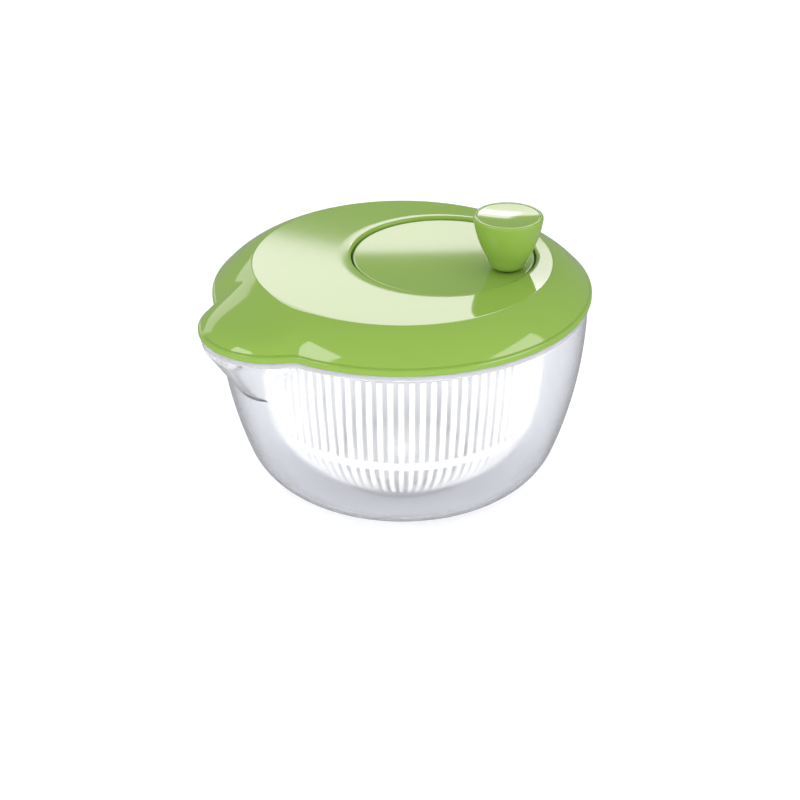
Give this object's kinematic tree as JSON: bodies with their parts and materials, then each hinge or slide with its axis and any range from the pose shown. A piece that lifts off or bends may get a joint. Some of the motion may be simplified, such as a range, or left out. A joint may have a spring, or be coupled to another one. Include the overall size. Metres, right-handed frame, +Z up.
{
  "type": "salad spinner",
  "caption": "Crank-driven salad spinner: clear pouring bowl, slotted spinning basket and domed lid with an off-centre crank disc and knob.",
  "frame": {"origin": "centre of the flat foot under the bowl, on the table and on the bowl's axis", "axes": "+Z up along the axis of the bowl and basket, -X towards the pouring spout, +Y to the side"},
  "size_m": [0.2845, 0.26, 0.1964],
  "materials": {
    "clear_plastic": "clear moulded plastic",
    "green_plastic": "high gloss moulded plastic",
    "white_plastic": "moulded plastic",
    "bearing_plastic": "moulded bearing plastic",
    "steel": "turned stainless steel"
  },
  "bodies": {
    "bowl": {"bowl": "clear_plastic", "bowl_pin": "steel"},
    "lid": {"lid_shell": "green_plastic", "gear_cover": "white_plastic", "gear_cover_screws": "steel", "crank_bushing": "bearing_plastic", "upper_bushing": "bearing_plastic", "lower_bushing": "bearing_plastic"},
    "crank": {"crank_disc": "green_plastic", "ring_gear": "bearing_plastic", "ring_gear_screws": "steel", "crank_axle": "steel", "axle_washer": "steel", "axle_clip": "steel", "knob_spindle": "steel", "knob_washer": "steel", "knob_screw": "steel"},
    "knob": {"knob_body": "green_plastic", "knob_cap": "green_plastic"},
    "driver": {"drive_shaft": "steel", "drive_pinion": "bearing_plastic", "spin_plate": "white_plastic", "plate_washer": "steel", "plate_screw": "steel"},
    "basket_bearing": {"basket_bush": "bearing_plastic"},
    "basket": {"basket": "white_plastic"}
  },
  "joints": [
    {"name": "lid_lift", "type": "slide", "parent": "bowl", "child": "lid", "axis": [0, 0, 1], "range_m": [0, 0.35]},
    {"name": "crank_spin", "type": "hinge", "parent": "lid", "child": "crank", "pos_m": [0.02853, -0.00927, 0.15], "axis": [0, 0, 1], "continuous": true},
    {"name": "knob_spin", "type": "hinge", "parent": "crank", "child": "knob", "pos_m": [0.05178, -0.04954, 0.17], "axis": [0, 0, 1], "continuous": true},
    {"name": "drive_spin", "type": "hinge", "parent": "lid", "child": "driver", "pos_m": [0, 0, 0.142], "axis": [0, 0, 1], "continuous": true},
    {"name": "basket_lift", "type": "slide", "parent": "bowl", "child": "basket_bearing", "axis": [0, 0, 1], "range_m": [0, 0.1575]},
    {"name": "basket_spin", "type": "hinge", "parent": "basket_bearing", "child": "basket", "pos_m": [0, 0, 0.013], "axis": [0, 0, 1], "continuous": true}
  ],
  "couplings": [
    {"joint": "drive_spin", "follows": "crank_spin", "ratio": 4.3333},
    {"joint": "basket_spin", "follows": "crank_spin", "ratio": 4.3333},
    {"joint": "basket_lift", "follows": "lid_lift", "ratio": 0.45}
  ]
}
